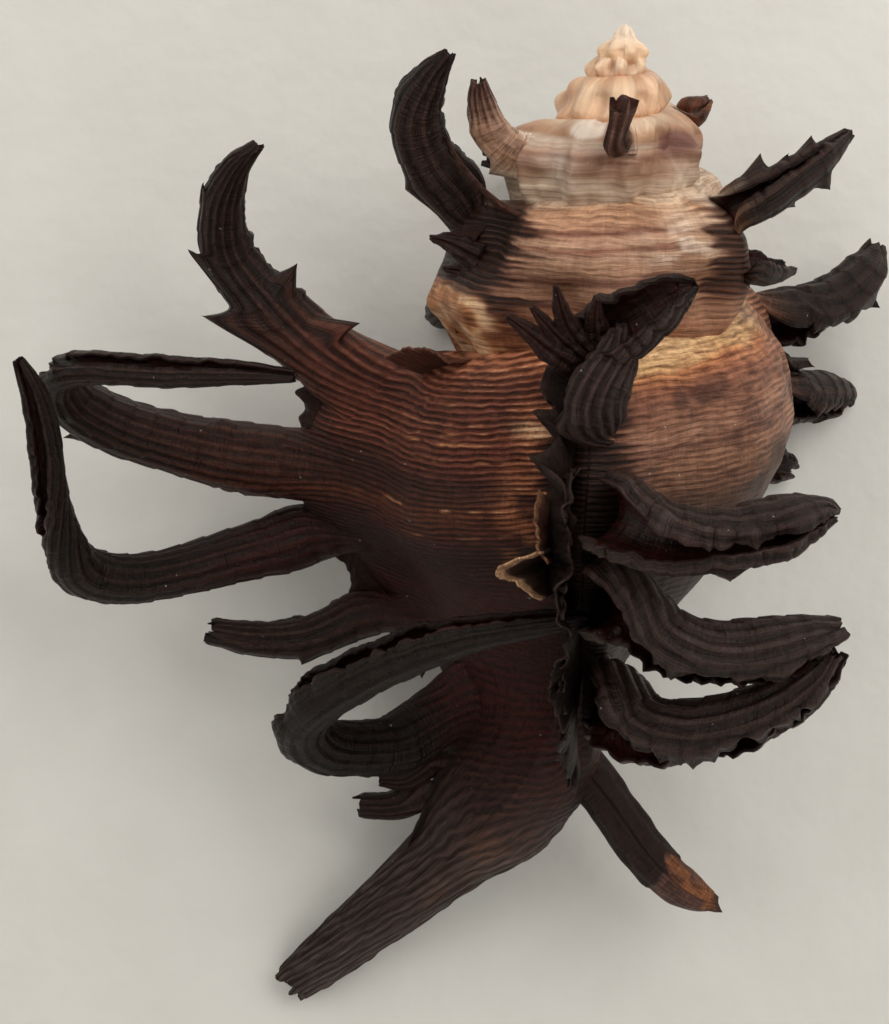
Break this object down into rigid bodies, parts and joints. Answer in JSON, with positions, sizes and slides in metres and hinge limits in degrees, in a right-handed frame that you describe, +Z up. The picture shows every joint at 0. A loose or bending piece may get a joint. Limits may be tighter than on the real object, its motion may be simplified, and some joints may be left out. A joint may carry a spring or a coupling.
{
  "type": "murex shell",
  "caption": "Dark murex seashell lying on its aperture, with a stepped spire, a tapering bent canal and rows of long curled fronds on its ridges.",
  "frame": {"origin": "centre of the shell's box in plan, on the surface that it rests on", "axes": "+Z up, away from the surface it rests on, with the back of the last whorl uppermost; +Y along the shell's length, towards the tip of the spire; +X to the side of the older whorl, with the outer lip on the -X side"},
  "size_m": [0.0859, 0.098, 0.0515],
  "materials": {
    "shell": "satin"
  },
  "bodies": {
    "root": {"murex_shell": "shell"}
  },
  "joints": []
}
